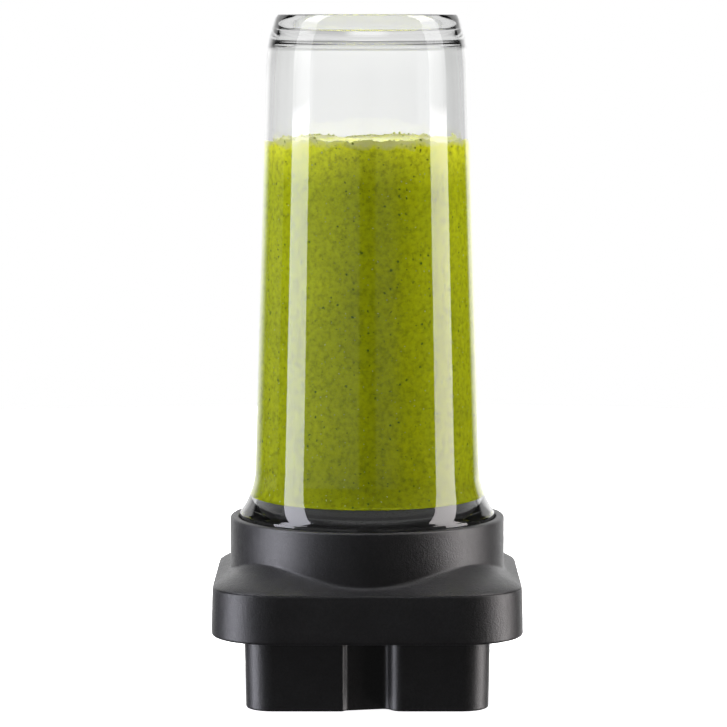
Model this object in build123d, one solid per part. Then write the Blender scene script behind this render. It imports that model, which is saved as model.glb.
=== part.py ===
from build123d import *

import os
from math import cos, hypot, pi, radians, sin, sqrt

# A personal blending cup standing on its blade base.  Millimetres, +Z up, origin at the
# centre of the foot's lower edge.  The cup hangs upside down over the base and screws into
# its collar; the blades stand in the bowl of the base on a shaft that ends below in a
# splined coupling, which a motor stand drives.

os.makedirs("parts", exist_ok=True)

# ---- driving dimensions -------------------------------------------------------------------

# running and seating gaps
FIT = 0.05            # radial gap of a shaft, ring or sleeve in its seat
SLIP = 0.30           # gap between pieces that only sit inside one another
BALL_GAP = 0.15       # ball to raceway

# base moulding: band, shoulder and collar
BASE_HALF = 51.7          # half the side of the square band
BASE_CORNER = 22.0        # plan radius of the band's corners
BAND_BOTTOM = 24.0
BAND_TOP = 40.2
BAND_DRAFT = 0.4          # the band is this much wider at its lower edge
BASE_WALL = 2.6
LEDGE = 0.5               # step from the band's top edge to the shoulder
THREAD_ROOM = 2.3         # round the cup's neck, for the thread
COLLAR_WALL = 2.8
COLLAR_TOP = 60.1
SHOULDER_MID = 42.6       # height where the shoulder has run out, at the middle of a side
SHOULDER_DIAG = 47.8      # and on a corner
GROOVE_FLOOR = 39.6       # bottom of the ring-shaped groove that takes the cup's neck
NECK_ROOM = 0.55          # from the neck's bore to the wall between groove and bowl
RING_WALL = 2.5
RING_TOP = 66.0
RING_LEAN = 1.6           # the wall's top leans in this much under the cup's flare
BOWL_FLOOR = 46.0
BOWL_FILLET = 5.0
HUB_WALL = 3.0

# foot
FOOT_INSET = 11.0         # from the band's side to the foot's
FOOT_CORNER = 9.0
FOOT_DRAFT = 0.5          # the foot is this much narrower at its lower edge
FOOT_WALL = 2.4
NOTCH_START = 8.0         # the notch in each side, from its middle to its shallow end
NOTCH_END = 9.2           # and to the end where it turns out
NOTCH_STEP = 1.6          # depth at the shallow end
NOTCH_DEPTH = 4.6         # depth at the deep end
PLATE_THICK = 3.0
PLATE_BORE = 26.0
EDGE_FILLET = 0.8

# cup
CUP_TOP = 228.7
CUP_WALL = 2.65
CUP_END_R = 29.75         # flat rim of the closed end
CUP_PUNT_R = 26.5         # recess in the closed end
CUP_PUNT_DEPTH = 6.1
CUP_FLOOR = 3.0
CUP_CORNER = 2.4          # inside, where the side meets the closed end
CUP_CROWN_R = 33.95       # where the side turns in towards the closed end
CUP_CROWN_DROP = 22.1
CUP_WAIST_R = 37.85       # wide end of the straight taper
CUP_WAIST_Z = 75.4
CUP_BEAD_OUT = 1.8         # the bead stands out this much from the neck
CUP_BEAD_TOP = 61.4
CUP_BEAD_HEIGHT = 4.6
CUP_NECK_R = 41.2
GASKET_THICK = 2.4

# contents
FILL_LEVEL = 187.0
SWEEP_GAP = 1.6           # room left round the blades' swept space

# drive: a shaft on two ball bearings
SHAFT_R = 4.0
LAND_R = 5.0              # seal land
SHOULDER_R = 6.0
SHOULDER_THICK = 1.5
BEARING_OUTER = 11.0
BEARING_WIDTH = 7.0
BALL_R = 1.95
BALL_COUNT = 7
RACE_PITCH = 7.5
INNER_RACE_R = 6.05
OUTER_RACE_R = 8.95
CAGE_HALF = 0.9           # half the radial width of the ball cage
CAGE_DEPTH = 2.6
BEARING_SPAN = 11.0       # between the two bearings
COUPLING_BOTTOM = 2.5
COUPLING_HEIGHT = 12.0
COUPLING_R = 14.0
COUPLING_HUB_R = 8.0
COUPLING_HUB_HEIGHT = 2.2
SOCKET_DEPTH = 8.0
SPLINE_MINOR = 9.5
SPLINE_MAJOR = 11.3
SPLINE_COUNT = 12
THRUST_THICK = 1.0
HOUSING_R = 15.0
HOUSING_FLANGE_R = 24.0
HOUSING_FLANGE_THICK = 2.5
HOUSING_TOP = 50.0
HOUSING_LIP = 2.5
SEAL_R = 10.0
SEAL_HEIGHT = 5.0
CLIP_THICK = 1.0
CLIP_BITE = 0.9
O_RING_R = 0.65
O_RING_DROP = 8.0         # below the housing's top
CLIP_GAP = 7.0            # between the circlip's ends

# blades
BLADE_THICK = 1.5
UPPER_HUB_R = 8.0         # flat middle of each blade, inside its bends
LOWER_HUB_R = 10.4
BLADE_TIP_R = 27.5
UPPER_SHORTER = 4.0       # the upper blade reaches this much less
LOWER_ROOT = 12.0         # width of a wing where it leaves the hub, and at its tip
LOWER_TIP = 6.0
UPPER_ROOT = 11.0
UPPER_TIP = 4.5
LOWER_LIFT = -8           # degrees that the wings are bent up
UPPER_LIFT = 24
HUB_DISC_R = 9.2
HUB_DISC_THICK = 1.4
BLADE_SPACER = 2.0
WASHER_R = 6.2
WASHER_THICK = 1.0
NUT_FLATS = 11.0
NUT_HEIGHT = 3.4
HUB_GAP = 0.6             # slinger above the bearing housing

# screws
SCREW_R = 1.5
SCREW_HEAD_R = 2.9
SCREW_HEAD = 1.8
PAN_HEAD_R = 2.5
SCREW_BITE = 8.0          # thread in the boss
BOSS_R = 3.6
CORNER_BOSS_R = 4.3       # in the band's corners, run into its wall

# ---- places that follow --------------------------------------------------------------------

FOOT_HALF = BASE_HALF - FOOT_INSET
COUPLING_TOP = COUPLING_BOTTOM + COUPLING_HEIGHT
LOWER_BEARING_Z = COUPLING_TOP + THRUST_THICK
UPPER_BEARING_Z = LOWER_BEARING_Z + BEARING_WIDTH + BEARING_SPAN
BEARINGS_TOP = UPPER_BEARING_Z + BEARING_WIDTH
SEAL_TOP = HOUSING_TOP - HOUSING_LIP
SLINGER_Z = HOUSING_TOP + HUB_GAP
LOWER_BLADE_Z = SLINGER_Z + HUB_DISC_THICK
SPACER_Z = LOWER_BLADE_Z + BLADE_THICK
UPPER_BLADE_Z = SPACER_Z + BLADE_SPACER
WASHER_Z = UPPER_BLADE_Z + BLADE_THICK
NUT_Z = WASHER_Z + WASHER_THICK
CUP_RIM_Z = GROOVE_FLOOR + GASKET_THICK
CUP_NECK_BORE = CUP_NECK_R - CUP_WALL
CUP_BEAD_R = CUP_NECK_R + CUP_BEAD_OUT
COLLAR_BORE = CUP_NECK_R + THREAD_ROOM
COLLAR_OUTER = COLLAR_BORE + COLLAR_WALL
RING_OUTER = CUP_NECK_BORE - NECK_ROOM
RING_BORE = RING_OUTER - RING_WALL
PLATE_TOP = BAND_BOTTOM + PLATE_THICK
CAVITY_TOP = GROOVE_FLOOR - BASE_WALL
FLANGE_Z = PLATE_TOP + 0.5
SWEEP_R = BLADE_TIP_R + SWEEP_GAP
SWEEP_TOP = NUT_Z + NUT_HEIGHT + NUT_FLATS / 2 + SWEEP_GAP
HOUSING_SCREW_AT = HOUSING_FLANGE_R - SCREW_HEAD_R - EDGE_FILLET      # from the axis


def corner_reach(half, corner):
    """Distance from the axis to a rounded square's corner, along the diagonal."""
    return (half - corner) * sqrt(2) + corner


# the foot's screws stand on the diagonals, between the foot's corner and the wall of the band
FOOT_REACH = corner_reach(FOOT_HALF, FOOT_CORNER)
CAVITY_REACH = corner_reach(BASE_HALF - BASE_WALL, BASE_CORNER - BASE_WALL)
SKIRT_SCREW_AT = (FOOT_REACH + CAVITY_REACH) / 2 / sqrt(2)            # each way from the axis


# ---- small helpers ---------------------------------------------------------------------------

def ring(outer, bore, bottom, height):
    """A plain tube section standing on `bottom`."""
    return Pos(0, 0, bottom) * extrude(Circle(outer) - Circle(bore), height)


def disc(radius, bottom, height):
    return Pos(0, 0, bottom) * extrude(Circle(radius), height)


def turned(*points):
    """Revolves a closed (radius, height) outline round the axis."""
    return revolve(Plane.XZ * make_face(Polyline(*points, close=True)), Axis.Z)


def fourfold(shape):
    return [Rot(0, 0, 90 * quarter) * shape for quarter in range(4)]


def save(shape, node):
    export_step(shape, f"parts/{node}.step")


# ---- base moulding -------------------------------------------------------------------------------

def band_outline(inset):
    side = 2 * (BASE_HALF - inset)
    return RectangleRounded(side, side, BASE_CORNER - inset)


def square_radius(angle, half, corner):
    """Distance from the axis to a rounded square's outline in the direction `angle`."""
    folded = abs((angle + pi / 4) % (pi / 2) - pi / 4)
    straight = half / cos(folded)
    if straight * sin(folded) <= half - corner:
        return straight
    centre = hypot(half - corner, half - corner)
    off = pi / 4 - folded
    return centre * cos(off) + sqrt(corner ** 2 - (centre * sin(off)) ** 2)


def shoulder_radius(angle, z):
    """Square at the band's top edge, round at the collar: scooped in the middle of each side; at the
    corners it rounds over and runs up into the collar."""
    foot_of_shoulder = square_radius(angle, BASE_HALF - LEDGE, BASE_CORNER - LEDGE)
    cornerness = (1 - cos(4 * angle)) / 2
    top = SHOULDER_MID + (SHOULDER_DIAG - SHOULDER_MID) * cornerness
    t = min(max((z - BAND_TOP) / (top - BAND_TOP), 0.0), 1.0)
    scooped = (1 - t) ** 2.2
    rounded = (1 - t ** 1.5) ** 1.5
    share = scooped + (rounded - scooped) * cornerness
    return COLLAR_OUTER + (foot_of_shoulder - COLLAR_OUTER) * share


def shoulder_section(z):
    count = 48
    angles = [2 * pi * step / count for step in range(count)]
    reach = [shoulder_radius(angle, z) for angle in angles]
    outline = Spline(*[(r * cos(a), r * sin(a)) for a, r in zip(angles, reach)], periodic=True)
    return Pos(0, 0, z) * make_face(outline)


def base_skin():
    """Band, shoulder and collar as one outer form."""
    band = loft([Pos(0, 0, BAND_BOTTOM) * band_outline(0), Pos(0, 0, BAND_TOP) * band_outline(BAND_DRAFT)],
                ruled=True)
    band = fillet(band.edges().group_by(Axis.Z)[0], EDGE_FILLET * 1.5)
    steps = 12
    rise = SHOULDER_DIAG - BAND_TOP
    sections = [shoulder_section(BAND_TOP + rise * (step / steps) ** 1.3) for step in range(steps + 1)]
    sections.append(shoulder_section(COLLAR_TOP))
    return band + loft(sections, ruled=True)


def collar_housing():
    skin = base_skin()
    inner = 2 * (BASE_HALF - BASE_WALL)
    cavity = extrude(RectangleRounded(inner, inner, BASE_CORNER - BASE_WALL), CAVITY_TOP - BAND_BOTTOM)
    skin -= Pos(0, 0, BAND_BOTTOM) * cavity
    skin -= disc(COLLAR_BORE, GROOVE_FLOOR, COLLAR_TOP - GROOVE_FLOOR)
    skin -= disc(RING_BORE, CAVITY_TOP - 1, COLLAR_TOP)
    skin = fillet(skin.edges().group_by(Axis.Z)[-1], EDGE_FILLET)
    # wall of the bowl: it leans in at the top to follow the inside of the cup
    wall_top = RING_OUTER - RING_LEAN
    wall = turned((RING_BORE, CAVITY_TOP), (RING_OUTER, CAVITY_TOP), (RING_OUTER, COLLAR_TOP),
                  (wall_top, RING_TOP), (RING_BORE, RING_TOP))
    floor_low = BOWL_FLOOR - BASE_WALL
    hub_bore = HOUSING_R + FIT
    bowl = turned((hub_bore, floor_low), (RING_BORE, floor_low), (RING_BORE, BOWL_FLOOR + BOWL_FILLET),
                  (RING_BORE - BOWL_FILLET * 0.3, BOWL_FLOOR + BOWL_FILLET * 0.3),
                  (RING_BORE - BOWL_FILLET, BOWL_FLOOR), (hub_bore, BOWL_FLOOR))
    hub = ring(hub_bore + HUB_WALL, hub_bore, FLANGE_Z + HOUSING_FLANGE_THICK,
               floor_low - FLANGE_Z - HOUSING_FLANGE_THICK)
    housing = skin + wall + bowl + hub
    for post in screw_posts():
        housing += post
    for hole in screw_holes():
        housing -= hole
    return housing


def screw_posts():
    """Bosses under the bowl for the bearing housing and in the band's corners for the foot."""
    inner_low = FLANGE_Z + HOUSING_FLANGE_THICK
    inner_post = Pos(HOUSING_SCREW_AT, 0, inner_low) * extrude(
        Circle(BOSS_R), BOWL_FLOOR - BASE_WALL - inner_low)
    outer_post = Pos(SKIRT_SCREW_AT, SKIRT_SCREW_AT, PLATE_TOP) * extrude(
        Circle(CORNER_BOSS_R), CAVITY_TOP - PLATE_TOP)
    return fourfold(inner_post) + fourfold(outer_post)


def screw_holes():
    depth = SCREW_BITE + 1.0
    bore = Circle(SCREW_R + FIT)
    inner_hole = Pos(HOUSING_SCREW_AT, 0, FLANGE_Z + HOUSING_FLANGE_THICK) * extrude(bore, depth)
    outer_hole = Pos(SKIRT_SCREW_AT, SKIRT_SCREW_AT, PLATE_TOP) * extrude(bore, depth)
    return fourfold(inner_hole) + fourfold(outer_hole)


# ---- foot ------------------------------------------------------------------------------------------

def foot_outline(inset, half):
    """Four lobes.  Each side has a notch that steps in, ramps deeper and turns out sharply, the
    same way round on all four sides."""
    one_side = [
        (-half, -half, FOOT_CORNER),
        (-NOTCH_START, -half, 1.0),
        (-NOTCH_START + 1.2, NOTCH_STEP - half, 1.6),
        (NOTCH_END - 3.0, NOTCH_DEPTH - half, 2.0),
        (NOTCH_END, -half, 4.5),
    ]
    points, radii = [], []
    for quarter in range(4):
        turn = radians(90 * quarter)
        for x, y, radius in one_side:
            points.append((x * cos(turn) - y * sin(turn), x * sin(turn) + y * cos(turn)))
            radii.append(radius)
    outline = make_face(FilletPolyline(*points, radius=radii, close=True))
    return offset(outline, -inset, kind=Kind.ARC) if inset else outline


def foot_skirt():
    low, high = FOOT_HALF - FOOT_DRAFT, FOOT_HALF
    outside = loft([foot_outline(0, low), Pos(0, 0, BAND_BOTTOM + 1) * foot_outline(0, high)], ruled=True)
    outside = fillet(outside.edges().group_by(Axis.Z)[0], EDGE_FILLET)
    inside = loft([foot_outline(FOOT_WALL, low), Pos(0, 0, BAND_BOTTOM + 1) * foot_outline(FOOT_WALL, high)],
                  ruled=True)
    side = 2 * (BASE_HALF - BASE_WALL - SLIP)
    plate = extrude(RectangleRounded(side, side, BASE_CORNER - BASE_WALL - SLIP), PLATE_THICK)
    skirt = outside + Pos(0, 0, BAND_BOTTOM) * plate - inside
    skirt -= disc(PLATE_BORE, BAND_BOTTOM, PLATE_THICK)
    sink = Cone(SCREW_R + FIT, SCREW_HEAD_R + SLIP, SCREW_HEAD, align=(Align.CENTER, Align.CENTER, Align.MIN))
    for hole in fourfold(Pos(SKIRT_SCREW_AT, SKIRT_SCREW_AT, BAND_BOTTOM) * extrude(
            Circle(SCREW_R + SLIP), PLATE_THICK)):
        skirt -= hole
    for hole in fourfold(Pos(SKIRT_SCREW_AT, SKIRT_SCREW_AT, BAND_BOTTOM + SCREW_HEAD) * Rot(180, 0, 0) * sink):
        skirt -= hole
    return skirt


# ---- cup and what is in it -----------------------------------------------------------------------

def cup_outside():
    """Half outline of the cup from the bead up to the rim of the closed end, as one wire."""
    crown = (CUP_CROWN_R, CUP_TOP - CUP_CROWN_DROP)
    taper = (CUP_CROWN_R - CUP_WAIST_R, crown[1] - CUP_WAIST_Z)
    flare = Spline((CUP_BEAD_R - 0.2, CUP_BEAD_TOP), (CUP_WAIST_R, CUP_WAIST_Z),
                   tangents=[(-0.75, 1.0), taper], tangent_scalars=[0.9, 0.9])
    side = Line((CUP_WAIST_R, CUP_WAIST_Z), crown)
    turn_in = Spline(crown, (CUP_END_R + 2.2, CUP_TOP - 5.1), (CUP_END_R, CUP_TOP),
                     tangents=[taper, (-1.0, 1.0)])
    return flare, side, turn_in


def cup_inside(wall, floor_z, bottom):
    """Radius and height of the inside, or of a body `wall` inside the cup's outer surface."""
    flare_r, flare_z = CUP_NECK_R - wall, CUP_BEAD_TOP - 0.6
    waist = (CUP_WAIST_R - wall, CUP_WAIST_Z - 0.4 * wall)
    slope = (CUP_CROWN_R - CUP_WAIST_R) / (CUP_TOP - CUP_CROWN_DROP - CUP_WAIST_Z)
    crown_z = min(CUP_TOP - CUP_CROWN_DROP - 2, floor_z)
    crown = (waist[0] + slope * (crown_z - waist[1]), crown_z)
    neck = Line((flare_r, bottom), (flare_r, flare_z))
    flare = Spline((flare_r, flare_z), waist, tangents=[(0.0, 1.0), (slope, 1.0)],
                   tangent_scalars=[0.9, 1.0])
    return neck, flare, Line(waist, crown), crown


def cup():
    flare, side, turn_in = cup_outside()
    floor_z = CUP_TOP - CUP_PUNT_DEPTH - CUP_FLOOR
    neck, inner_flare, inner_side, crown = cup_inside(CUP_WALL, floor_z, CUP_RIM_Z)
    bend = (CUP_END_R + 3.2 - CUP_WALL, floor_z - CUP_CORNER)
    slope = (CUP_WAIST_R - CUP_CROWN_R) / (CUP_TOP - CUP_CROWN_DROP - CUP_WAIST_Z)
    punt_z = CUP_TOP - CUP_PUNT_DEPTH
    outline = [
        Line((CUP_NECK_BORE, CUP_RIM_Z), (CUP_NECK_R, CUP_RIM_Z)),
        Line((CUP_NECK_R, CUP_RIM_Z), (CUP_NECK_R, CUP_BEAD_TOP - CUP_BEAD_HEIGHT - 1.2)),
        Line((CUP_NECK_R, CUP_BEAD_TOP - CUP_BEAD_HEIGHT - 1.2), (CUP_BEAD_R, CUP_BEAD_TOP - CUP_BEAD_HEIGHT)),
        Line((CUP_BEAD_R, CUP_BEAD_TOP - CUP_BEAD_HEIGHT), (CUP_BEAD_R - 0.2, CUP_BEAD_TOP)),
        flare, side, turn_in,
        Line((CUP_END_R, CUP_TOP), (CUP_PUNT_R, CUP_TOP)),
        Line((CUP_PUNT_R, CUP_TOP), (CUP_PUNT_R - 1.5, punt_z)),
        Line((CUP_PUNT_R - 1.5, punt_z), (0, punt_z)),
        Line((0, punt_z), (0, floor_z)),
        Line((0, floor_z), (bend[0] - CUP_CORNER, floor_z)),
        Spline((bend[0] - CUP_CORNER, floor_z), bend, tangents=[(1, 0), (0.15, -1)]),
        Spline(bend, crown, tangents=[(0.15, -1), (slope, -1)]),
        inner_side, inner_flare, neck,
    ]
    return revolve(Plane.XZ * make_face(outline), Axis.Z)


def smoothie():
    """The blended contents, with the room that the blades and their hub need left out."""
    wall = CUP_WALL + SLIP
    inner_r = RING_BORE - SLIP
    low = BOWL_FLOOR + BOWL_FILLET
    neck, flare, side, crown = cup_inside(wall, FILL_LEVEL, RING_TOP + SLIP)
    outline = [
        Line((SWEEP_R, low), (inner_r, low)),
        Line((inner_r, low), (inner_r, RING_TOP + SLIP)),
        Line((inner_r, RING_TOP + SLIP), flare @ 0.55),
        flare.trim(0.55, 1), side,
        Line(crown, (0, FILL_LEVEL)),
        Line((0, FILL_LEVEL), (0, SWEEP_TOP)),
        Line((0, SWEEP_TOP), (SWEEP_R, SWEEP_TOP)),
        Line((SWEEP_R, SWEEP_TOP), (SWEEP_R, low)),
    ]
    return revolve(Plane.XZ * make_face(outline), Axis.Z)


def jar_gasket():
    return ring(CUP_NECK_R + SLIP, CUP_NECK_BORE - SLIP, GROOVE_FLOOR, GASKET_THICK)


# ---- bearings and seal ---------------------------------------------------------------------------

def race(outer, bore, bottom):
    groove = Pos(0, 0, bottom + BEARING_WIDTH / 2) * Torus(RACE_PITCH, BALL_R + BALL_GAP)
    return ring(outer, bore, bottom, BEARING_WIDTH) - groove


def bearing(prefix, bottom):
    middle = bottom + BEARING_WIDTH / 2
    save(race(BEARING_OUTER, OUTER_RACE_R, bottom), f"{prefix}_bearing_outer_ring")
    save(race(INNER_RACE_R, SHAFT_R + FIT, bottom), f"{prefix}_bearing_inner_ring")
    seats = [Rot(0, 0, 360 * ball / BALL_COUNT) * Pos(RACE_PITCH, 0, middle) for ball in range(BALL_COUNT)]
    balls = [seat * Sphere(BALL_R) for seat in seats]
    save(Compound(children=balls), f"{prefix}_bearing_balls")
    cage = ring(RACE_PITCH + CAGE_HALF, RACE_PITCH - CAGE_HALF, middle - CAGE_DEPTH, CAGE_DEPTH + 0.6)
    for seat in seats:
        cage -= seat * Sphere(BALL_R + BALL_GAP)
    save(cage, f"{prefix}_bearing_cage")


def bearing_housing():
    """Turned sleeve pushed up into the hub: seal at the top, both bearings, circlip groove."""
    bore = BEARING_OUTER + FIT
    low = LOWER_BEARING_Z - CLIP_THICK - 1.6
    sleeve = turned((bore, low), (HOUSING_R, low), (HOUSING_R, HOUSING_TOP - 1),
                    (HOUSING_R - 1, HOUSING_TOP), (HUB_DISC_R - 1.5, HOUSING_TOP),
                    (HUB_DISC_R - 1.5, SEAL_TOP), (SEAL_R + FIT, SEAL_TOP),
                    (SEAL_R + FIT, BEARINGS_TOP + FIT), (bore, BEARINGS_TOP + FIT))
    sleeve += ring(HOUSING_FLANGE_R, HOUSING_R - 0.5, FLANGE_Z, HOUSING_FLANGE_THICK)
    sleeve -= ring(bore + CLIP_BITE, bore - 1, LOWER_BEARING_Z - FIT - CLIP_THICK, CLIP_THICK)
    o_ring_z = HOUSING_TOP - O_RING_DROP
    sleeve -= ring(HOUSING_R + 1, HOUSING_R - 2 * O_RING_R, o_ring_z - O_RING_R, 2 * O_RING_R)
    for hole in fourfold(Pos(HOUSING_SCREW_AT, 0, FLANGE_Z) * extrude(
            Circle(SCREW_R + SLIP), HOUSING_FLANGE_THICK)):
        sleeve -= hole
    return sleeve


def housing_o_ring():
    return Pos(0, 0, HOUSING_TOP - O_RING_DROP) * Torus(HOUSING_R - O_RING_R, O_RING_R - FIT)


def outer_spacer():
    return ring(BEARING_OUTER, BEARING_OUTER - 1.6, LOWER_BEARING_Z + BEARING_WIDTH, BEARING_SPAN)


def inner_spacer():
    return ring(SHOULDER_R, SHAFT_R + FIT, LOWER_BEARING_Z + BEARING_WIDTH, BEARING_SPAN)


def lip_seal():
    """Cup-shaped case with one lip on the shaft and a groove outside it for the spring."""
    low = SEAL_TOP - SEAL_HEIGHT
    lip = LAND_R + FIT
    return turned((SEAL_R, low), (SEAL_R, SEAL_TOP), (lip + 0.9, SEAL_TOP), (lip, SEAL_TOP - 3.0),
                  (lip + 0.9, low + 0.4), (lip + 1.7, low + 0.4), (lip + 1.7, SEAL_TOP - 1.3),
                  (SEAL_R - 1.3, SEAL_TOP - 1.3), (SEAL_R - 1.3, low))


def seal_spring():
    wire = 0.45
    return Pos(0, 0, SEAL_TOP - 3.0) * Torus(LAND_R + FIT + 1.7 + wire + FIT, wire)


def circlip():
    outer = BEARING_OUTER + CLIP_BITE
    body = ring(outer, outer - 2.6, LOWER_BEARING_Z - FIT - CLIP_THICK, CLIP_THICK)
    gap = Pos(0, -outer, LOWER_BEARING_Z - CLIP_THICK) * Box(CLIP_GAP, outer, 3 * CLIP_THICK)
    return body - gap


# ---- shaft and what turns with it ----------------------------------------------------------------

def drive_shaft():
    low = COUPLING_BOTTOM + SOCKET_DEPTH
    end = NUT_Z + NUT_HEIGHT - 0.6
    return turned((0, low), (SHAFT_R - 0.4, low), (SHAFT_R, low + 0.4), (SHAFT_R, BEARINGS_TOP),
                  (SHOULDER_R, BEARINGS_TOP), (SHOULDER_R, BEARINGS_TOP + SHOULDER_THICK),
                  (LAND_R, BEARINGS_TOP + SHOULDER_THICK + 0.5), (LAND_R, SLINGER_Z),
                  (SHAFT_R, SLINGER_Z), (SHAFT_R, end - 0.4), (SHAFT_R - 0.4, end), (0, end))


def thrust_washer():
    return ring(INNER_RACE_R, SHAFT_R + FIT, COUPLING_TOP, THRUST_THICK)


def hub_disc():
    """Slinger over the bearing housing; its skirt keeps the contents off the seal."""
    top = SLINGER_Z + HUB_DISC_THICK
    return turned((SHAFT_R + FIT, SLINGER_Z), (HUB_DISC_R, SLINGER_Z), (HUB_DISC_R, top - 0.5),
                  (HUB_DISC_R - 0.5, top), (SHAFT_R + FIT, top))


def blade(hub, reach, root, tip, lift, bottom):
    """Two-winged pressed blade: a flat hub and wings bent by `lift` degrees, ground on one side."""
    start = hub - 0.8
    length = (reach - start) / cos(radians(abs(lift)))
    outline = Polyline((0, -root / 2), (length * 0.55, -root / 2), (length, -tip / 2),
                       (length, tip / 2 - 0.6), (length * 0.7, root / 2), (0, root / 2), close=True)
    wing = extrude(make_face(outline), BLADE_THICK)
    edge = wing.edges().filter_by(lambda e: e.center().Y < -tip / 2 + 0.01 and e.center().Z > BLADE_THICK / 2
                                  and e.center().X > 0.1)
    wing = chamfer(edge, BLADE_THICK * 0.55, BLADE_THICK * 0.95)
    wing = Pos(start, 0, 0) * Rot(0, -lift, 0) * wing
    plate = extrude(Circle(hub), BLADE_THICK) + wing + Rot(0, 0, 180) * wing
    return Pos(0, 0, bottom) * (plate - extrude(Circle(SHAFT_R + FIT), BLADE_THICK))


def blade_spacer():
    return ring(SHOULDER_R, SHAFT_R + FIT, SPACER_Z, BLADE_SPACER)


def blade_washer():
    return ring(WASHER_R, SHAFT_R + FIT, WASHER_Z, WASHER_THICK)


def blade_nut():
    """Domed hexagon nut that clamps the blades."""
    hexagon = extrude(RegularPolygon(NUT_FLATS / 2, 6, major_radius=False), NUT_HEIGHT)
    hexagon = hexagon & Cone(NUT_FLATS * 0.75, NUT_FLATS / 2 - 0.2, NUT_HEIGHT,
                             align=(Align.CENTER, Align.CENTER, Align.MIN))
    ball = Sphere(NUT_FLATS / 2 - 0.6)
    upper_half = Pos(0, 0, NUT_FLATS / 2) * Box(2 * NUT_FLATS, 2 * NUT_FLATS, NUT_FLATS)
    dome = Pos(0, 0, NUT_HEIGHT) * (ball & upper_half)
    room = extrude(Circle(SHAFT_R + FIT), NUT_HEIGHT)
    return Pos(0, 0, NUT_Z) * (hexagon + dome - room)


def drive_coupling():
    """Socket with straight splines that drops over the motor's driver."""
    shoulder_z = COUPLING_TOP - COUPLING_HUB_HEIGHT
    body = ring(COUPLING_R, SHAFT_R + FIT, COUPLING_BOTTOM, shoulder_z - COUPLING_BOTTOM)
    body += ring(COUPLING_HUB_R, SHAFT_R + FIT, shoulder_z, COUPLING_HUB_HEIGHT)
    body -= disc(SPLINE_MINOR, COUPLING_BOTTOM, SOCKET_DEPTH)
    tooth_gap = Pos(SPLINE_MINOR, 0, COUPLING_BOTTOM + SOCKET_DEPTH / 2) * Box(
        2 * (SPLINE_MAJOR - SPLINE_MINOR), pi * SPLINE_MINOR / SPLINE_COUNT, SOCKET_DEPTH)
    for tooth in range(SPLINE_COUNT):
        body -= Rot(0, 0, 360 * tooth / SPLINE_COUNT) * tooth_gap
    return body


# ---- screws ---------------------------------------------------------------------------------------

def skirt_screws():
    length = PLATE_THICK + SCREW_BITE
    screw = Cone(SCREW_HEAD_R, SCREW_R, SCREW_HEAD, align=(Align.CENTER, Align.CENTER, Align.MIN))
    screw += Cylinder(SCREW_R, length, align=(Align.CENTER, Align.CENTER, Align.MIN))
    return Compound(children=fourfold(Pos(SKIRT_SCREW_AT, SKIRT_SCREW_AT, BAND_BOTTOM) * screw))


def housing_screws():
    shank = HOUSING_FLANGE_THICK + SCREW_BITE
    screw = Cylinder(SCREW_R, shank, align=(Align.CENTER, Align.CENTER, Align.MIN))
    screw += Pos(0, 0, -SCREW_HEAD) * Cylinder(PAN_HEAD_R, SCREW_HEAD,
                                               align=(Align.CENTER, Align.CENTER, Align.MIN))
    return Compound(children=fourfold(Pos(HOUSING_SCREW_AT, 0, FLANGE_Z) * screw))


# ---- the pieces ------------------------------------------------------------------------------------

save(collar_housing(), "collar_housing")
save(foot_skirt(), "foot_skirt")
save(jar_gasket(), "jar_gasket")
save(bearing_housing(), "bearing_housing")
save(housing_o_ring(), "housing_o_ring")
save(lip_seal(), "lip_seal")
save(seal_spring(), "seal_spring")
save(outer_spacer(), "outer_spacer")
save(circlip(), "circlip")
save(skirt_screws(), "skirt_screws")
save(housing_screws(), "housing_screws")
bearing("lower", LOWER_BEARING_Z)
bearing("upper", UPPER_BEARING_Z)
save(drive_shaft(), "drive_shaft")
save(inner_spacer(), "inner_spacer")
save(thrust_washer(), "thrust_washer")
save(hub_disc(), "hub_disc")
save(blade(LOWER_HUB_R, BLADE_TIP_R, LOWER_ROOT, LOWER_TIP, LOWER_LIFT, LOWER_BLADE_Z), "lower_blade")
save(blade_spacer(), "blade_spacer")
save(Rot(0, 0, 90) * blade(UPPER_HUB_R, BLADE_TIP_R - UPPER_SHORTER, UPPER_ROOT, UPPER_TIP, UPPER_LIFT,
                           UPPER_BLADE_Z), "upper_blade")
save(blade_washer(), "blade_washer")
save(blade_nut(), "blade_nut")
save(drive_coupling(), "drive_coupling")
save(cup(), "jar")
save(smoothie(), "smoothie")
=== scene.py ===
"""A personal blending cup of green smoothie on its blade base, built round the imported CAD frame."""

from math import cos, hypot, pi, radians, sin, sqrt

import bmesh
import bpy
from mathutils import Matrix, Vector, noise


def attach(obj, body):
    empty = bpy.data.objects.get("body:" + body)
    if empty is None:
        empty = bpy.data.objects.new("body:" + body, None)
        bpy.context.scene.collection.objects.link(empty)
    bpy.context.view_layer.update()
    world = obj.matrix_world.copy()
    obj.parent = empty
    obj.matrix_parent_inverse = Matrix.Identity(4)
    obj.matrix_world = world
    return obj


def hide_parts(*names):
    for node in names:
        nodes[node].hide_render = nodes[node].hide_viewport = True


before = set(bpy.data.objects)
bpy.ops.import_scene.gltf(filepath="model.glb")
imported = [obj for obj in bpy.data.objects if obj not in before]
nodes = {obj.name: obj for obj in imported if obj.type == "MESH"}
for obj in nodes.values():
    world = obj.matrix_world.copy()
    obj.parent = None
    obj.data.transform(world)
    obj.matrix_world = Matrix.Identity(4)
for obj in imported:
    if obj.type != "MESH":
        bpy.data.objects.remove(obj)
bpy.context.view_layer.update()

MM = 0.001

# ---------------------------------------------------------------------------------------------
# Collar housing.  One black moulding: a square band with round corners, a shoulder that turns it
# into the round collar, and inside it the bowl the blades stand in.  It carries everything else.
# ---------------------------------------------------------------------------------------------

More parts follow.
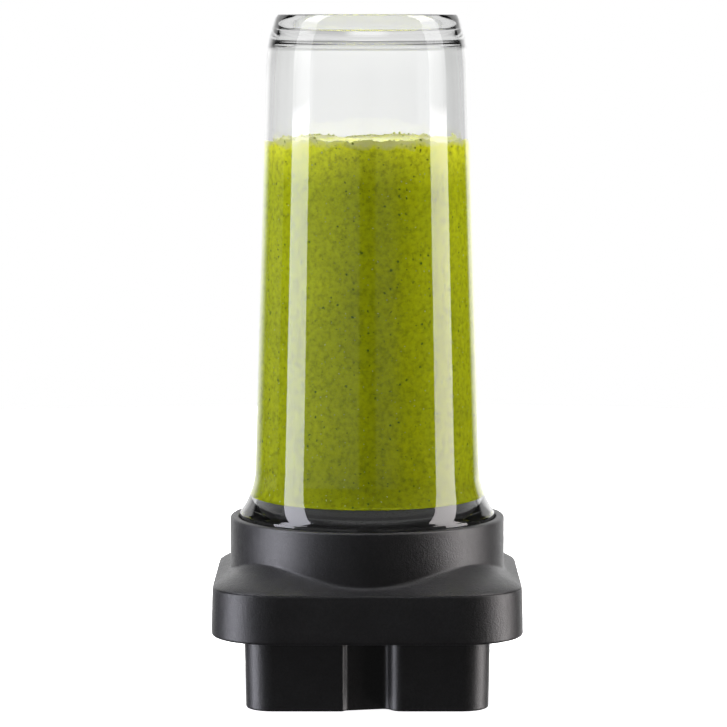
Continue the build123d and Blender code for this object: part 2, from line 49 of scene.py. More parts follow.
BAND_HALF, BAND_CORNER, BAND_LOW, BAND_TOP = 51.7, 22.0, 24.0, 40.2
BAND_DRAFT, BAND_WALL, LOW_EDGE, TOP_EDGE = 0.4, 2.6, 1.2, 0.5
SHOULDER_MID, SHOULDER_DIAG, SCOOP_POWER, ROUND_POWER = 42.6, 47.8, 2.2, 1.5
COLLAR_R, COLLAR_BORE, COLLAR_TOP, COLLAR_EDGE = 46.3, 43.5, 60.1, 0.8
GROOVE_FLOOR, GROOVE_EDGE = 39.6, 0.5
RING_OUTER, RING_CROWN, RING_BORE, RING_TOP, RING_EDGE = 38.0, 36.1, 35.5, 66.0, 0.35
BOWL_FLOOR, BOWL_EDGE, BOWL_UNDER, DECK_UNDER = 46.0, 5.0, 43.4, 37.0
HUB_BORE, HUB_OUTER, HUB_LOW, HUB_EDGE = 15.05, 18.05, 30.0, 0.4


def square_radius(angle, half, corner):
    """Distance from the axis to a square with rounded corners."""
    folded = abs((angle + pi / 4) % (pi / 2) - pi / 4)
    straight = half / cos(folded)
    if straight * sin(folded) <= half - corner:
        return straight
    centre = hypot(half - corner, half - corner)
    off = pi / 4 - folded
    return centre * cos(off) + sqrt(corner ** 2 - (centre * sin(off)) ** 2)


def band_angles(count):
    """Directions that fall evenly along the band, so that its corners get their share."""
    fine = 4096
    turns = [2 * pi * k / fine for k in range(fine + 1)]
    points = [(square_radius(a, BAND_HALF, BAND_CORNER), a) for a in turns]
    run = [0.0]
    for (r0, a0), (r1, a1) in zip(points, points[1:]):
        run.append(run[-1] + hypot(r1 - r0, r0 * (a1 - a0)))
    angles, at = [], 0
    for step in range(count):
        want = run[-1] * step / count
        while run[at + 1] < want:
            at += 1
        share = (want - run[at]) / (run[at + 1] - run[at])
        angles.append((at + share) * 2 * pi / fine)
    return angles


def shoulder_radius(angle, z):
    """The shoulder from the band in to the collar: scooped on the sides, rounded on the corners."""
    foot = square_radius(angle, BAND_HALF - TOP_EDGE, BAND_CORNER - TOP_EDGE)
    cornerness = (1 - cos(4 * angle)) / 2
    top = SHOULDER_MID + (SHOULDER_DIAG - SHOULDER_MID) * cornerness
    t = min(max((z - BAND_TOP) / (top - BAND_TOP), 0.0), 1.0)
    scooped = (1 - t) ** SCOOP_POWER
    rounded = (1 - t ** ROUND_POWER) ** ROUND_POWER
    return COLLAR_R + (foot - COLLAR_R) * (scooped + (rounded - scooped) * cornerness)


def arc(centre, radius, first, last, steps=5):
    """Points of an arc in the profile plane, angles in degrees."""
    turns = [radians(first + (last - first) * k / steps) for k in range(steps + 1)]
    return [(centre[0] + radius * cos(t), centre[1] + radius * sin(t)) for t in turns]


def shade(obj, sharp):
    """Smooth shading, but for edges that turn by more than `sharp` degrees."""
    obj.data.shade_smooth()
    obj.data.set_sharp_from_angle(angle=radians(sharp))
    return obj


def solid(name, points, faces):
    """An object in the scene, from points in metres and the faces on them."""
    mesh = bpy.data.meshes.new(name)
    mesh.from_pydata(points, [], faces)
    obj = bpy.data.objects.new(name, mesh)
    bpy.context.scene.collection.objects.link(obj)
    return obj


def merge_poles(obj):
    """Merges the points that fall together where a shape closes on its axis."""
    bm = bmesh.new()
    bm.from_mesh(obj.data)
    bmesh.ops.remove_doubles(bm, verts=bm.verts, dist=1e-7)
    bmesh.ops.dissolve_degenerate(bm, edges=bm.edges, dist=1e-7)
    loose = [e for e in bm.edges if not e.link_faces]
    bmesh.ops.delete(bm, geom=loose, context="EDGES")
    bm.to_mesh(obj.data)
    bm.free()
    return obj


def ring_mesh(name, rings):
    """Skins a stack of rings of (x, y, z) millimetre points and joins the last ring to the first.
    Taken outside first and upwards, its faces point outwards."""
    count = len(rings[0])
    points = [(x * MM, y * MM, z * MM) for ring in rings for x, y, z in ring]
    faces = []
    for i in range(len(rings)):
        low, high = i * count, (i + 1) % len(rings) * count
        for j in range(count):
            k = (j + 1) % count
            faces.append((low + j, low + k, high + k, high + j))
    return solid(name, points, faces)


def joined(name, pieces):
    """One mesh out of several, each with its place already in its points."""
    points, faces = [], []
    for piece in pieces:
        start = len(points)
        points += [v.co[:] for v in piece.data.vertices]
        faces += [tuple(start + v for v in p.vertices) for p in piece.data.polygons]
        bpy.data.objects.remove(piece)
    return solid(name, points, faces)


def lathe(name, profile, count=96, centre=(0, 0)):
    """Turns a closed profile of (radius, height) round a vertical line.  Radius 0 makes a pole."""
    turns = [2 * pi * k / count for k in range(count)]
    rings = [[(centre[0] + r * cos(a), centre[1] + r * sin(a), z) for a in turns] for r, z in profile]
    obj = ring_mesh(name, rings)
    return merge_poles(obj) if any(r == 0 for r, z in profile) else obj


def housing_rings():
    """Rings from the band's lower edge up its outside, over the collar's rim, down the groove, over
    the ring and the bowl to the hub, and back along the underside to the band's lower edge."""
    angles = band_angles(320)
    rings = []

    def around(radius_at, z):
        rings.append([(radius_at(a) * cos(a), radius_at(a) * sin(a), z) for a in angles])

    def square(inset, z):
        draft = BAND_DRAFT * (z - BAND_LOW) / (BAND_TOP - BAND_LOW)
        around(lambda a: square_radius(a, BAND_HALF - inset - draft, BAND_CORNER - inset), z)

    for step in range(7):
        t = pi / 2 * step / 6
        square(LOW_EDGE * (1 - sin(t)), BAND_LOW + LOW_EDGE * (1 - cos(t)))
    for z in (28.0, 31.0, 34.0, 37.0, 39.4):
        square(0.0, z)
    for step in range(1, 5):
        t = pi / 2 * step / 4
        square(TOP_EDGE * (1 - cos(t)), BAND_TOP - TOP_EDGE * (1 - sin(t)))
    for step in range(1, 29):
        z = BAND_TOP + (SHOULDER_DIAG - BAND_TOP) * (step / 28) ** 1.3
        around(lambda a: shoulder_radius(a, z), z)
    for z in (51.5, 54.0, 56.5, 58.4):
        around(lambda a: COLLAR_R, z)
    rim_z, groove_z, lip_z = COLLAR_TOP - COLLAR_EDGE, GROOVE_FLOOR + GROOVE_EDGE, RING_TOP - RING_EDGE
    inside = arc((COLLAR_R - COLLAR_EDGE, rim_z), COLLAR_EDGE, 0, 90)
    inside += arc((COLLAR_BORE + COLLAR_EDGE, rim_z), COLLAR_EDGE, 90, 180)
    inside += [(COLLAR_BORE, 50.0)]
    inside += arc((COLLAR_BORE - GROOVE_EDGE, groove_z), GROOVE_EDGE, 0, -90)
    inside += arc((RING_OUTER + GROOVE_EDGE, groove_z), GROOVE_EDGE, -90, -180)
    inside += [(RING_OUTER, 50.0), (RING_OUTER, COLLAR_TOP - 0.4), (RING_OUTER - 0.1, COLLAR_TOP + 0.4)]
    inside += arc((RING_CROWN, lip_z), RING_EDGE, 20, 90)
    inside += arc((RING_BORE + RING_EDGE, lip_z), RING_EDGE, 90, 180)
    inside += [(RING_BORE, 58.0)]
    inside += arc((RING_BORE - BOWL_EDGE, BOWL_FLOOR + BOWL_EDGE), BOWL_EDGE, 0, -90, 8)
    inside += [(24.0, BOWL_FLOOR)]
    inside += arc((HUB_BORE + HUB_EDGE, BOWL_FLOOR - HUB_EDGE), HUB_EDGE, 90, 180, 3)
    inside += [(HUB_BORE, HUB_LOW), (HUB_OUTER, HUB_LOW)]
    inside += arc((HUB_OUTER + 1, BOWL_UNDER - 1), 1.0, 180, 90, 3)
    inside += [(RING_BORE - COLLAR_EDGE, BOWL_UNDER)]
    inside += arc((RING_BORE - COLLAR_EDGE, BOWL_UNDER - COLLAR_EDGE), COLLAR_EDGE, 90, 0, 3)
    inside += [(RING_BORE, DECK_UNDER)]
    for r, z in inside:
        around(lambda a: r, z)
    for inset, z in ((4.0, DECK_UNDER), (3.2, DECK_UNDER - 0.2), (BAND_WALL, DECK_UNDER - 1),
                     (BAND_WALL, 30.0), (BAND_WALL, BAND_LOW)):
        around(lambda a: square_radius(a, BAND_HALF - inset, BAND_CORNER - inset), z)
    return rings


SCREW_HOLE_R, POST_SUNK = 1.55, 0.3
FOOT_SCREW_AT, FOOT_POST_R, FOOT_POST_LOW = 40.74, 4.3, 27.05
HOUSING_SCREW_AT, HOUSING_POST_R, HOUSING_POST_LOW = 20.3, 3.6, 30.05


def post(radius, bottom, top, x, y):
    """A post round a screw's hole, from below up into the moulding."""
    high = top + POST_SUNK
    section = [(radius, bottom), (radius, high), (SCREW_HOLE_R, high), (SCREW_HOLE_R, bottom)]
    return lathe("post", section, 24, (x, y))


posts = []
for i, j in ((1, 1), (1, -1), (-1, 1), (-1, -1)):
    x, y = i * FOOT_SCREW_AT, j * FOOT_SCREW_AT
    posts.append(post(FOOT_POST_R, FOOT_POST_LOW, DECK_UNDER, x, y))
for i, j in ((1, 0), (0, 1), (-1, 0), (0, -1)):
    x, y = i * HOUSING_SCREW_AT, j * HOUSING_SCREW_AT
    posts.append(post(HOUSING_POST_R, HOUSING_POST_LOW, BOWL_UNDER, x, y))
housing = joined("collar_moulding", [ring_mesh("skin", housing_rings())] + posts)
shade(housing, 50)


class Nodes:
    """Short ways to add nodes to one tree and link them."""

    def __init__(self, tree):
        self.tree = tree

    def add(self, kind, links=(), **settings):
        node = self.tree.nodes.new(kind)
        for label, value in settings.items():
            if label in node.inputs:
                node.inputs[label].default_value = value
            else:
                setattr(node, label, value)
        for label, source in dict(links).items():
            self.tree.links.new(source, node.inputs[label])
        return node

    def ramp(self, source, stops):
        """Colours by the source's value.  A number among the stops stands for a grey."""
        node = self.add("ShaderNodeValToRGB", {"Fac": source})
        while len(node.color_ramp.elements) < len(stops):
            node.color_ramp.elements.new(0.5)
        for element, (at, colour) in zip(node.color_ramp.elements, stops):
            element.position = at
            element.color = (*colour, 1) if isinstance(colour, tuple) else (colour, colour, colour, 1)
        return node.outputs["Color"]

    def span(self, source, low, high, to_low, to_high):
        node = self.add("ShaderNodeMapRange", {"Value": source})
        for label, value in zip(("From Min", "From Max", "To Min", "To Max"), (low, high, to_low, to_high)):
            node.inputs[label].default_value = value
        return node.outputs["Result"]

    def math(self, operation, *values):
        node = self.add("ShaderNodeMath", operation=operation)
        for slot, value in zip(node.inputs, values):
            if isinstance(value, (int, float)):
                slot.default_value = value
            else:
                self.tree.links.new(value, slot)
        return node.outputs[0]

    def mix(self, share, a, b, blend="MIX"):
        """Mixes two colours.  A number in place of a colour stands for a grey."""
        node = self.add("ShaderNodeMix", data_type="RGBA", blend_type=blend)
        for slot, value in ((node.inputs[0], share), (node.inputs[6], a), (node.inputs[7], b)):
            if isinstance(value, tuple):
                slot.default_value = (*value, 1)
            elif isinstance(value, (int, float)):
                slot.default_value = value if slot == node.inputs[0] else (value, value, value, 1)
            else:
                self.tree.links.new(value, slot)
        return node.outputs[2]


class Paint(Nodes):
    """A material being built, with patterns that read the object's own coordinates."""

    def __init__(self, name, **sockets):
        self.material = bpy.data.materials.new(name)
        self.material.use_nodes = True
        super().__init__(self.material.node_tree)
        self.shader = self.tree.nodes["Principled BSDF"]
        for label, value in sockets.items():
            self.shader.inputs[label.replace("_", " ")].default_value = value
        self.place = self.add("ShaderNodeTexCoord").outputs["Object"]

    def noise(self, scale, detail=2.0, rough=0.5, where=None):
        node = self.add("ShaderNodeTexNoise", {"Vector": where or self.place})
        node.inputs["Scale"].default_value = scale
        node.inputs["Detail"].default_value = detail
        node.inputs["Roughness"].default_value = rough
        return node.outputs["Fac"]

    def bump(self, height, depth, strength=1.0, under=None):
        links = {"Height": height}
        if under:
            links["Normal"] = under
        node = self.add("ShaderNodeBump", links)
        node.inputs["Distance"].default_value = depth
        node.inputs["Strength"].default_value = strength
        return node.outputs["Normal"]

    def feed(self, **sources):
        for label, source in sources.items():
            self.tree.links.new(source, self.shader.inputs[label.replace("_", " ")])
        return self.material


def dress(obj, material):
    """Gives the piece this material and no other."""
    obj.data.materials.clear()
    obj.data.materials.append(material)
    return obj


black = Paint("black moulding", IOR=1.5, Specular_IOR_Level=0.68)
grain = black.noise(1700, 3, 0.7)
mottle = black.ramp(black.noise(90, 3), [(0.35, (0.0105, 0.0105, 0.0112)), (0.7, (0.0140, 0.0140, 0.0146))])
black_moulding = black.feed(
    Base_Color=black.mix(1.0, mottle, black.ramp(grain, [(0.35, 0.60), (0.65, 1.40)]), "MULTIPLY"),
    Roughness=black.span(black.noise(700, 2), 0.3, 0.7, 0.33, 0.41),
    Normal=black.bump(grain, 0.00012, 1.0, black.bump(black.noise(160, 2), 0.00012, 0.12)))
dress(housing, black_moulding)
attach(housing, "base")
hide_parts("collar_housing")

# ---------------------------------------------------------------------------------------------
# Foot skirt.  Four lobes that drop into a motor stand's well.  It is screwed to the housing from
# below and has the same grained black finish, so the CAD piece stays and takes the material.
# ---------------------------------------------------------------------------------------------

dress(nodes["foot_skirt"], black_moulding)

# ---------------------------------------------------------------------------------------------
# Bearing housing, spacers and circlip.  The sleeve is turned from aluminium: the tool leaves fine
# rings round the axis.  The circlip is blued spring steel.
# ---------------------------------------------------------------------------------------------


def turned_metal(name, colour, rough, ring_scale, depth):
    """Metal with the fine rings that a turning tool or a grinding wheel leaves round the axis."""
    metal = Paint(name, Metallic=1.0)
    split = metal.add("ShaderNodeSeparateXYZ", {"Vector": metal.place})
    radius = metal.math("SQRT", metal.math("ADD", metal.math("POWER", split.outputs["X"], 2.0),
                                           metal.math("POWER", split.outputs["Y"], 2.0)))
    along = metal.math("ADD", radius, split.outputs["Z"])
    rings = metal.add("ShaderNodeTexNoise", {"W": along}, noise_dimensions="1D")
    rings.inputs["Scale"].default_value = ring_scale
    tint = metal.mix(metal.noise(220, 3), tuple(c * 0.86 for c in colour), colour)
    return metal.feed(Base_Color=tint,
                      Roughness=metal.span(metal.noise(500, 3), 0.3, 0.7, rough - 0.05, rough + 0.07),
                      Normal=metal.bump(rings.outputs["Fac"], depth, 0.5))


aluminium = turned_metal("turned aluminium", (0.74, 0.75, 0.76), 0.26, 5200, 0.00002)
blued = turned_metal("blued spring steel", (0.20, 0.21, 0.24), 0.34, 3000, 0.00001)
for name in ("bearing_housing", "outer_spacer", "inner_spacer"):
    dress(nodes[name], aluminium)
dress(nodes["circlip"], blued)

# ---------------------------------------------------------------------------------------------
# Bearings.  Two 8 x 22 x 7 ball bearings, ground and polished, with pressed steel cages.
# ---------------------------------------------------------------------------------------------

polished = turned_metal("ground bearing steel", (0.78, 0.79, 0.81), 0.10, 9000, 0.000004)
pressed = turned_metal("pressed cage steel", (0.52, 0.53, 0.55), 0.32, 2500, 0.00001)
for prefix in ("lower", "upper"):
    for piece in ("outer_ring", "inner_ring", "balls"):
        dress(nodes[f"{prefix}_bearing_{piece}"], polished)
    dress(nodes[f"{prefix}_bearing_cage"], pressed)

# ---------------------------------------------------------------------------------------------
# Seals.  Black nitrile rubber: the lip seal above the bearings, the O-ring round their housing
# and the flat gasket that the cup's neck presses on.  A ring of steel wire loads the lip.
# ---------------------------------------------------------------------------------------------

nitrile = Paint("black nitrile rubber", Roughness=0.55)
rubber = nitrile.feed(
    Base_Color=nitrile.ramp(nitrile.noise(300, 4), [(0.3, 0.014), (0.7, 0.024)]),
    Roughness=nitrile.span(nitrile.noise(900, 2), 0.3, 0.7, 0.48, 0.66),
    Normal=nitrile.bump(nitrile.noise(2200, 3), 0.00003, 0.5))
for name in ("lip_seal", "housing_o_ring", "jar_gasket"):
    dress(nodes[name], rubber)

# ---------------------------------------------------------------------------------------------
# Shaft, slinger and blades.  Stainless steel.  The shaft is turned; the blades are pressed from
# sheet that was brushed along its length, and their edges are ground.
# ---------------------------------------------------------------------------------------------


def brushed(name, along):
    """Brushed sheet: noise stretched along the blade."""
    steel = Paint(name, Metallic=1.0)
    stretch = steel.add("ShaderNodeMapping", {"Vector": steel.place})
    stretch.inputs["Scale"].default_value = along
    lines = steel.noise(3000, 3, 0.6, stretch.outputs["Vector"])
    return steel.feed(Base_Color=steel.mix(steel.noise(120, 3), (0.56, 0.57, 0.58), (0.68, 0.69, 0.70)),
                      Roughness=steel.span(lines, 0.3, 0.7, 0.18, 0.36),
                      Normal=steel.bump(lines, 0.00001, 0.5))


stainless = turned_metal("turned stainless steel", (0.66, 0.66, 0.66), 0.22, 6500, 0.00001)
for name in ("drive_shaft", "thrust_washer", "hub_disc", "seal_spring",
             "blade_spacer", "blade_washer", "blade_nut"):
    dress(nodes[name], stainless)
dress(nodes["lower_blade"], brushed("steel brushed along the lower blade", (0.04, 1, 1)))
dress(nodes["upper_blade"], brushed("steel brushed along the upper blade", (1, 0.04, 1)))

# ---------------------------------------------------------------------------------------------
# Coupling.  Glass-filled nylon socket with twelve splines; the fibres leave faint grey flecks.
# ---------------------------------------------------------------------------------------------

nylon = Paint("glass-filled nylon", Roughness=0.5)
fibres = nylon.add("ShaderNodeMapping", {"Vector": nylon.place})
fibres.inputs["Scale"].default_value = (1, 1, 0.2)
flecks = nylon.noise(3600, 4, 0.7, fibres.outputs["Vector"])
black_nylon = nylon.feed(Base_Color=nylon.ramp(flecks, [(0.45, 0.018), (0.62, 0.022), (0.75, 0.06)]),
                         Roughness=nylon.span(flecks, 0.3, 0.7, 0.38, 0.58),
                         Normal=nylon.bump(flecks, 0.00002, 0.4))
dress(nodes["drive_coupling"], black_nylon)

# ---------------------------------------------------------------------------------------------
# Screws.  Four countersunk screws hold the foot and four pan heads the bearing housing.  One
# screw of each kind is modelled with its cross recess and thread, and set round the axis.
# ---------------------------------------------------------------------------------------------


def as_mesh(obj):
    """Keeps what the modifiers make as plain mesh."""
    shaped = obj.evaluated_get(bpy.context.evaluated_depsgraph_get())
    mesh = bpy.data.meshes.new_from_object(shaped)
    obj.modifiers.clear()
    obj.data = mesh
    return obj


class Repeater(Nodes):
    """A Geometry Nodes tree with named inputs, run on an object and kept as its mesh."""

    def __init__(self, name, inputs):
        super().__init__(bpy.data.node_groups.new(name, "GeometryNodeTree"))
        face = self.tree.interface
        face.new_socket("Geometry", in_out="INPUT", socket_type="NodeSocketGeometry")
        face.new_socket("Geometry", in_out="OUTPUT", socket_type="NodeSocketGeometry")
        self.identifiers = {}
        for label, kind in {**inputs, "Finish": "Material"}.items():
            socket = face.new_socket(label, in_out="INPUT", socket_type="NodeSocket" + kind)
            self.identifiers[label] = socket.identifier
        self.given = self.add("NodeGroupInput").outputs

    def run(self, obj, instances, values):
        """Makes the instances real, all in one material, and keeps them as the object's mesh."""
        real = self.add("GeometryNodeRealizeInstances", {"Geometry": instances})
        finish = self.add("GeometryNodeSetMaterial", {"Geometry": real.outputs["Geometry"],
                                                      "Material": self.given["Finish"]})
        self.add("NodeGroupOutput", {"Geometry": finish.outputs["Geometry"]})
        modifier = obj.modifiers.new(self.tree.name, "NODES")
        modifier.node_group = self.tree
        for label, value in values.items():
            modifier[self.identifiers[label]] = value
        return as_mesh(obj)


def set_round(obj, count, radius, first, material):
    """Repeats the object's mesh round the axis, the first copy at the angle `first`."""
    ring = Repeater("set round the axis", {"Count": "Int", "Circle radius": "Float", "First angle": "Float"})
    given = ring.given
    circle = ring.add("GeometryNodeMeshCircle", {"Vertices": given["Count"],
                                                 "Radius": given["Circle radius"]})
    spin = ring.add("ShaderNodeCombineXYZ", {"Z": given["First angle"]})
    turned = ring.add("GeometryNodeTransform", {"Geometry": circle.outputs["Mesh"],
                                                "Rotation": spin.outputs["Vector"]})
    index = ring.add("GeometryNodeInputIndex").outputs["Index"]
    step = ring.math("DIVIDE", 2 * pi, given["Count"])
    angle = ring.math("MULTIPLY_ADD", index, step, given["First angle"])
    facing = ring.add("ShaderNodeCombineXYZ", {"Z": angle})
    placed = ring.add("GeometryNodeInstanceOnPoints", {
        "Points": turned.outputs["Geometry"], "Instance": given["Geometry"],
        "Rotation": facing.outputs["Vector"]})
    return ring.run(obj, placed.outputs["Instances"], {
        "Count": count, "Circle radius": radius * MM, "First angle": first, "Finish": material})


def cut_out(obj, cutters):
    """Cuts other solids out of a piece and removes them."""
    for cutter in cutters:
        modifier = obj.modifiers.new("cut", "BOOLEAN")
        modifier.operation = "DIFFERENCE"
        modifier.solver = "EXACT"
        modifier.object = cutter
    as_mesh(obj)
    for cutter in cutters:
        bpy.data.objects.remove(cutter)
    return obj


def slab(name, half_x, half_y, low, high, taper):
    """A block that narrows upwards to `taper` of its width."""
    rings = []
    for z, share in ((low, 1.0), (high, taper)):
        rings.append([(x * share, y * share, z) for x, y in
                      ((half_x, half_y), (-half_x, half_y), (-half_x, -half_y), (half_x, -half_y))])
    points = [(x * MM, y * MM, z * MM) for ring in rings for x, y, z in ring]
    faces = [(3, 2, 1, 0), (4, 5, 6, 7)] + [(j, (j + 1) % 4, (j + 1) % 4 + 4, j + 4) for j in range(4)]
    return solid(name, points, faces)


def cross_recess(low, depth, half_long, half_wide):
    """The two crossed blocks that a driver's recess is cut with."""
    sides = ((half_long, half_wide), (half_wide, half_long))
    return [slab("cut", x, y, low - 0.1, low + depth, 0.6) for x, y in sides]


def threaded_shank(low, high, radius, pitch):
    """Profile of a shank with thread ridges, from `low` up to a short point."""
    profile, z = [], low
    while z < high - 2 * pitch:
        profile += [(radius - 0.25, z), (radius - 0.25, z + pitch * 0.45), (radius, z + pitch * 0.72)]
        z += pitch
    return profile + [(radius - 0.3, high - pitch), (0.35, high), (0, high)]


zinc = turned_metal("zinc plated screw", (0.62, 0.62, 0.60), 0.30, 4000, 0.00001)
SCREW_R, SCREW_PITCH = 1.5, 1.0
SUNK_R, SUNK_LOW, SUNK_LONG = 2.9, 24.0, 11.0
sunk_head = [(0, SUNK_LOW), (SUNK_R - 0.15, SUNK_LOW), (SUNK_R, SUNK_LOW + 0.1),
             (SCREW_R, SUNK_LOW + 1.8)]
sunk_shank = threaded_shank(SUNK_LOW + 2.0, SUNK_LOW + SUNK_LONG, SCREW_R, SCREW_PITCH)
countersunk = lathe("foot_screws", sunk_head + sunk_shank, 40)
cut_out(countersunk, cross_recess(SUNK_LOW, 1.2, 1.6, 0.32))
foot_screws = set_round(countersunk, 4, FOOT_SCREW_AT * sqrt(2), pi / 4, zinc)
shade(foot_screws, 40)
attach(foot_screws, "base")
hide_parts("skirt_screws")

PAN_R, PAN_EDGE, PAN_LOW, FLANGE_LOW, PAN_LONG = 2.5, 0.6, 25.7, 27.5, 10.5
pan_flat = PAN_R - PAN_EDGE
pan_head = [(0, PAN_LOW), (pan_flat, PAN_LOW)] + arc((pan_flat, PAN_LOW + PAN_EDGE), PAN_EDGE, -90, 0, 4)
pan_head += [(PAN_R, FLANGE_LOW), (SCREW_R, FLANGE_LOW)]
pan = lathe("bearing_screws", pan_head
            + threaded_shank(FLANGE_LOW + 0.2, FLANGE_LOW + PAN_LONG, SCREW_R, SCREW_PITCH), 40)
cut_out(pan, cross_recess(PAN_LOW, 1.1, 1.4, 0.3))
housing_screws = set_round(pan, 4, HOUSING_SCREW_AT, 0.0, zinc)
shade(housing_screws, 40)
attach(housing_screws, "base")
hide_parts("housing_screws")

# ---------------------------------------------------------------------------------------------
# Smoothie.  It fills the cup above the bowl and wets the wall, so its side lies right against the
# copolyester.  The froth leaves an uneven line where it meets the wall, with bubbles along it.
# ---------------------------------------------------------------------------------------------

WALL, WETTED = 2.65, 0.05
FILL, FILL_LOW, BOWL_FILL_R, BOWL_FILL_EDGE = 187.6, 51.0, 35.2, 1.5
BLADE_ROOM_R, BLADE_ROOM_TOP = 29.1, 73.4
NECK_R, CROWN_R, CROWN_Z, WAIST_R, WAIST_Z = 41.2, 33.95, 206.6, 37.85, 75.4
taper = (CROWN_R - WAIST_R) / (CROWN_Z - WAIST_Z)


def hermite(a, b, way_a, way_b, steps):
    """Points of a smooth curve from a to b that leaves along way_a and comes in along way_b."""
    out = []
    for k in range(steps + 1):
        t = k / steps
        h = (2 * t ** 3 - 3 * t ** 2 + 1, t ** 3 - 2 * t ** 2 + t, -2 * t ** 3 + 3 * t ** 2, t ** 3 - t ** 2)
        out.append(tuple(h[0] * a[i] + h[1] * way_a[i] + h[2] * b[i] + h[3] * way_b[i] for i in (0, 1)))
    return out


def inner_side(wall, low_z, steps=14):
    """The cup's inner surface from its neck up to the waist, `wall` inside the outer one."""
    neck = (NECK_R - wall, 60.8)
    waist = (WAIST_R - wall, WAIST_Z - 0.4 * wall)
    reach = hypot(waist[0] - neck[0], waist[1] - neck[1])
    return [(neck[0], low_z)] + hermite(neck, waist, (0, 0.9 * reach), (taper * reach, reach), steps)


def inner_radius(z, wall=WALL):
    """Radius of the cup's inner surface above the waist."""
    return WAIST_R - wall + taper * (z - (WAIST_Z - 0.4 * wall))


def froth_line(angle):
    """Height of the froth's edge on the wall, above its mean."""
    p = Vector((cos(angle), sin(angle), 0.0))
    slow = noise.noise(p * 1.6 + Vector((3.1, 0, 0)))
    mid = noise.noise(p * 6.0 + Vector((0, 7.7, 0)))
    quick = noise.noise(p * 19.0)
    return 1.7 * slow + 1.0 * mid + 0.5 * quick


DIP, FROTH_REACH = 0.9, 9.0
INSETS = (0.35, 0.9, 1.8, 3.2, 5.2, 8.0, 11.5, 15.5, 20.0, 24.5, 28.5, 31.5, 33.4)


def smoothie_mesh():
    """The contents: a ring in the bowl round the room that the blades turn in, then the full cup."""
    count, wall_steps = 288, 39
    turns = [2 * pi * k / count for k in range(count)]
    touch = WALL - WETTED
    rim_z = RING_TOP + 0.3
    side = [p for p in inner_side(touch, rim_z) if p[1] > rim_z + 0.1]
    outer = [(BLADE_ROOM_R, FILL_LOW), (33.5, FILL_LOW)]
    outer += arc((BOWL_FILL_R - BOWL_FILL_EDGE, FILL_LOW + BOWL_FILL_EDGE), BOWL_FILL_EDGE, -90, 0, 4)
    outer += [(BOWL_FILL_R, 60.0), (BOWL_FILL_R, rim_z), (37.6, rim_z + 0.05)] + side
    rings = [[(r * cos(a), r * sin(a), z) for a in turns] for r, z in outer]
    top_z = FILL - 3
    low_z = side[-1][1]
    for step in range(1, wall_steps + 1):
        z = low_z + (top_z - low_z) * step / wall_steps
        r = inner_radius(z, touch)
        rings.append([(r * cos(a), r * sin(a), z) for a in turns])
    for share in (0.35, 0.65, 0.88, 1.0):
        ring = []
        for a in turns:
            z = top_z + (FILL + froth_line(a) - top_z) * share
            r = inner_radius(z, touch)
            ring.append((r * cos(a), r * sin(a), z))
        rings.append(ring)
    for inset in INSETS:
        ring = []
        for a in turns:
            r = inner_radius(FILL, touch) - inset
            fade = max(0.0, 1 - inset / FROTH_REACH)
            p = Vector((r * cos(a), r * sin(a), 0.0))
            froth = 0.55 * noise.noise(p * 0.35) + 0.3 * noise.noise(p * 0.9 + Vector((5, 5, 5)))
            meniscus = -DIP * (1 - (1 - inset / INSETS[-1]) ** 10)
            ring.append((p.x, p.y, FILL + froth_line(a) * fade + meniscus + froth))
        rings.append(ring)
    rings.append([(0.0, 0.0, FILL - DIP)] * count)
    rings.append([(0.0, 0.0, BLADE_ROOM_TOP)] * count)
    room_edge = 0.5
    for r in (12.0, 24.0, BLADE_ROOM_R - room_edge):
        rings.append([(r * cos(a), r * sin(a), BLADE_ROOM_TOP) for a in turns])
    low_z = BLADE_ROOM_TOP - room_edge
    rings.append([(BLADE_ROOM_R * cos(a), BLADE_ROOM_R * sin(a), low_z) for a in turns])
    return merge_poles(ring_mesh("smoothie_fill", rings))


smoothie = smoothie_mesh()
shade(smoothie, 60)

blend = Paint("green smoothie", Roughness=0.38, IOR=1.36, Specular_IOR_Level=0.12)
position = blend.add("ShaderNodeSeparateXYZ", {"Vector": blend.place})
height = position.outputs["Z"]
cloud = blend.noise(38, 4, 0.6)
body = blend.ramp(cloud, [(0.30, (0.475, 0.535, 0.001)), (0.70, (0.555, 0.615, 0.001))])
# Painted light: the green is painted lighter over its top, in place of light falling on it from above.
painted_top_light = blend.ramp(blend.span(height, 0.172, 0.186, 0.0, 1.0), [(0.0, 0.0), (1.0, 1.0)])
body = blend.mix(painted_top_light, body, (0.84, 0.87, 0.03))
pulp = blend.ramp(blend.noise(520, 5, 0.7), [(0.34, 0.68), (0.5, 1.0), (0.66, 1.16)])
body = blend.mix(1.0, body, pulp, "MULTIPLY")
# The green is made darker towards the bottom of the cup.
darker_towards_bottom = blend.ramp(blend.span(height, 0.066, 0.166, 0.0, 1.0), [(0.0, 0.74), (0.14, 0.88), (1.0, 1.0)])
body = blend.mix(1.0, body, darker_towards_bottom, "MULTIPLY")


def dots(paint, spacing, low, high, chance, where):
    """Mask of round dots, solid within `low` and gone at `high` mm from the middle of a cell of a
    Voronoi pattern, and kept in `chance` of the cells."""
    cells = paint.add("ShaderNodeTexVoronoi", {"Vector": where})
    cells.inputs["Scale"].default_value = 1 / (spacing * MM)
    spot = paint.span(cells.outputs["Distance"], low / spacing, high / spacing, 1.0, 0.0)
    pick = paint.add("ShaderNodeSeparateColor", {"Color": cells.outputs["Color"]})
    kept = paint.math("LESS_THAN", pick.outputs["Red"], chance)
    return paint.math("MULTIPLY", spot, kept)


